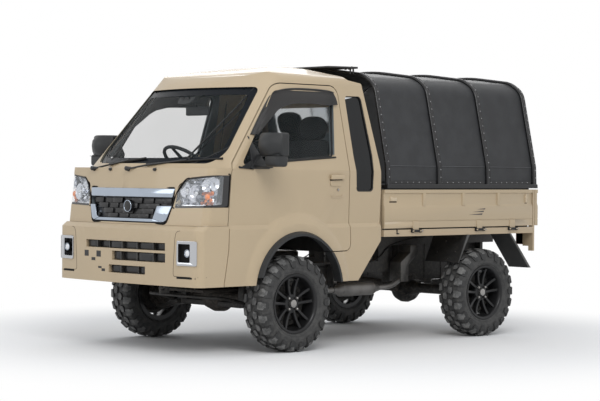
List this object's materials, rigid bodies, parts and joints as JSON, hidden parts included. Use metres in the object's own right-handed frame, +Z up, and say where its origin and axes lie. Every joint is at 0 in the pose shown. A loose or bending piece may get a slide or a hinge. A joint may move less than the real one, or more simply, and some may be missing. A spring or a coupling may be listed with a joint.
{
  "type": "kei truck with drop-side bed and hooped canopy",
  "caption": "Lifted small cab-over pickup with raised-roof cab, opening doors, drop-side bed gates, fabric canopy on hoops and steerable wheels.",
  "frame": {"origin": "on the ground under the middle of the truck's length, on its middle plane", "axes": "+Z up, the truck faces -Y, +X is its left side"},
  "size_m": [1.97, 3.395, 1.9333],
  "materials": {
    "bed_paint": "gloss tan beige",
    "black_alloy": "matt black",
    "black_paint": "satin black",
    "black_plastic": "fine grain",
    "black_rubber": "matt",
    "canopy_fabric": "satin coated cloth",
    "chrome": "bright",
    "clear_glass": "clear",
    "dark_glass": "smoked",
    "engine_iron": "as cast",
    "grey_cloth": "woven",
    "grey_metal": "dull",
    "khaki_paint": "gloss tan beige",
    "lamp_clear": "clear lens",
    "lamp_red": "red lens",
    "tyre_rubber": "rubber"
  },
  "bodies": {
    "chassis": {"bed_floor": "bed_paint", "cab_back": "khaki_paint", "cab_floor": "black_paint", "cab_sides": "khaki_paint", "cab_windows": "dark_glass", "canopy_base": "black_paint", "canopy_hoops": "black_paint", "canopy_skin": "canopy_fabric", "cross_members": "black_paint", "dashboard": "black_plastic", "engine_block": "engine_iron", "fog_lamps": "black_plastic", "frame_rails": "black_paint", "front_bumper": "khaki_paint", "front_suspension": "black_paint", "grille": "black_plastic", "grille_trim": "chrome", "headboard": "khaki_paint", "headlamps": "lamp_clear", "mudguards": "black_rubber", "nose_panel": "khaki_paint", "over_cab_plate": "black_paint", "rear_axle": "black_paint", "rear_springs": "black_paint", "roof": "khaki_paint", "seats": "grey_cloth", "silencer_and_tank": "grey_metal", "sill_flares": "black_plastic", "steering_wheel": "black_plastic", "tail_lamps": "lamp_red", "windscreen": "clear_glass"},
    "door_left": {"door_left_flare": "black_plastic", "door_left_glass": "clear_glass", "door_left_shell": "khaki_paint", "mirror_left": "black_plastic"},
    "door_right": {"door_right_flare": "black_plastic", "door_right_glass": "clear_glass", "door_right_shell": "khaki_paint", "mirror_right": "black_plastic"},
    "gate_left": {"gate_left": "khaki_paint"},
    "gate_right": {"gate_right": "khaki_paint"},
    "knuckle_left": {"knuckle_left": "black_paint"},
    "knuckle_right": {"knuckle_right": "black_paint"},
    "wheel_front_left": {"rim_front_left": "black_alloy", "tyre_front_left": "tyre_rubber"},
    "wheel_front_right": {"rim_front_right": "black_alloy", "tyre_front_right": "tyre_rubber"},
    "wheel_rear_left": {"rim_rear_left": "black_alloy", "tyre_rear_left": "tyre_rubber"},
    "wheel_rear_right": {"rim_rear_right": "black_alloy", "tyre_rear_right": "tyre_rubber"},
    "tailgate": {"tailgate": "khaki_paint"}
  },
  "joints": [
    {"name": "door_left_hinge", "type": "hinge", "parent": "chassis", "child": "door_left", "pos_m": [0.745, -1.4505, 1], "axis": [0, 0, -1], "range_deg": [0, 65]},
    {"name": "door_right_hinge", "type": "hinge", "parent": "chassis", "child": "door_right", "pos_m": [-0.745, -1.4505, 1], "axis": [0, 0, 1], "range_deg": [0, 65]},
    {"name": "gate_left_hinge", "type": "hinge", "parent": "chassis", "child": "gate_left", "pos_m": [0.748, 0.8275, 0.776], "axis": [0, 1, 0], "range_deg": [0, 150]},
    {"name": "gate_right_hinge", "type": "hinge", "parent": "chassis", "child": "gate_right", "pos_m": [-0.748, 0.8275, 0.776], "axis": [0, -1, 0], "range_deg": [0, 150]},
    {"name": "tailgate_hinge", "type": "hinge", "parent": "chassis", "child": "tailgate", "pos_m": [0, 1.6885, 0.776], "axis": [-1, 0, 0], "range_deg": [0, 170]},
    {"name": "steer_left", "type": "hinge", "parent": "chassis", "child": "knuckle_left", "pos_m": [0.64, -0.8625, 0.205], "axis": [-0.2414, 0, 0.9704], "range_deg": [-35, 35]},
    {"name": "steer_right", "type": "hinge", "parent": "chassis", "child": "knuckle_right", "pos_m": [-0.64, -0.8625, 0.205], "axis": [0.2414, 0, 0.9704], "range_deg": [-35, 35]},
    {"name": "spin_front_left", "type": "hinge", "parent": "knuckle_left", "child": "wheel_front_left", "pos_m": [0.7, -0.8625, 0.318], "axis": [1, 0, 0], "continuous": true},
    {"name": "spin_front_right", "type": "hinge", "parent": "knuckle_right", "child": "wheel_front_right", "pos_m": [-0.7, -0.8625, 0.318], "axis": [1, 0, 0], "continuous": true},
    {"name": "spin_rear_left", "type": "hinge", "parent": "chassis", "child": "wheel_rear_left", "pos_m": [0.7, 1.0375, 0.318], "axis": [1, 0, 0], "continuous": true},
    {"name": "spin_rear_right", "type": "hinge", "parent": "chassis", "child": "wheel_rear_right", "pos_m": [-0.7, 1.0375, 0.318], "axis": [1, 0, 0], "continuous": true}
  ],
  "couplings": [
    {"joint": "steer_right", "follows": "steer_left", "ratio": 1}
  ]
}
